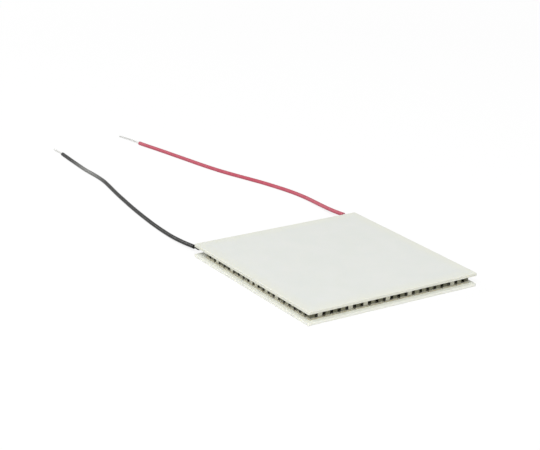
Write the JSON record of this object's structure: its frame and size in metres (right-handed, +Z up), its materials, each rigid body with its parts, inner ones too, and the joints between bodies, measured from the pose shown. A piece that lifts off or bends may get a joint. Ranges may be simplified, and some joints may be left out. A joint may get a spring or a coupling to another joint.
{
  "type": "thermoelectric cooling module",
  "caption": "Flat square thermoelectric cooling module: ceramic plates on a field of small semiconductor legs, with soldered red and black leads.",
  "frame": {"origin": "middle of the underside of the lower ceramic plate (the cold side), on the surface the module lies on", "axes": "+Z up, out of the upper ceramic plate's free face (the hot side); +Y towards the edge where both leads leave; +X towards the red lead's corner"},
  "size_m": [0.0556, 0.1628, 0.0038],
  "materials": {
    "alumina": "fired white alumina, matt with a faint sheen",
    "tinned_copper": "copper tabs dulled by tinning",
    "solder": "dull reflowed solder",
    "p_type_telluride": "sawn bismuth telluride, dark metallic grey",
    "n_type_telluride": "sawn bismuth telluride, dark metallic grey",
    "tinned_strands": "twisted tinned copper strands",
    "black_insulation": "soft black insulation with a satin sheen",
    "red_insulation": "soft red insulation with a satin sheen"
  },
  "bodies": {
    "root": {"cold_side_plate": "alumina", "hot_side_plate": "alumina", "cold_side_tabs": "tinned_copper", "cold_side_turn_tabs": "tinned_copper", "hot_side_tabs": "tinned_copper", "black_lead_tab": "tinned_copper", "red_lead_tab": "tinned_copper", "cold_side_solder": "solder", "hot_side_solder": "solder", "black_lead_joint": "solder", "red_lead_joint": "solder", "p_type_legs": "p_type_telluride", "n_type_legs": "n_type_telluride", "black_lead_strands": "tinned_strands", "red_lead_strands": "tinned_strands", "black_lead_jacket": "black_insulation", "red_lead_jacket": "red_insulation"}
  },
  "joints": []
}
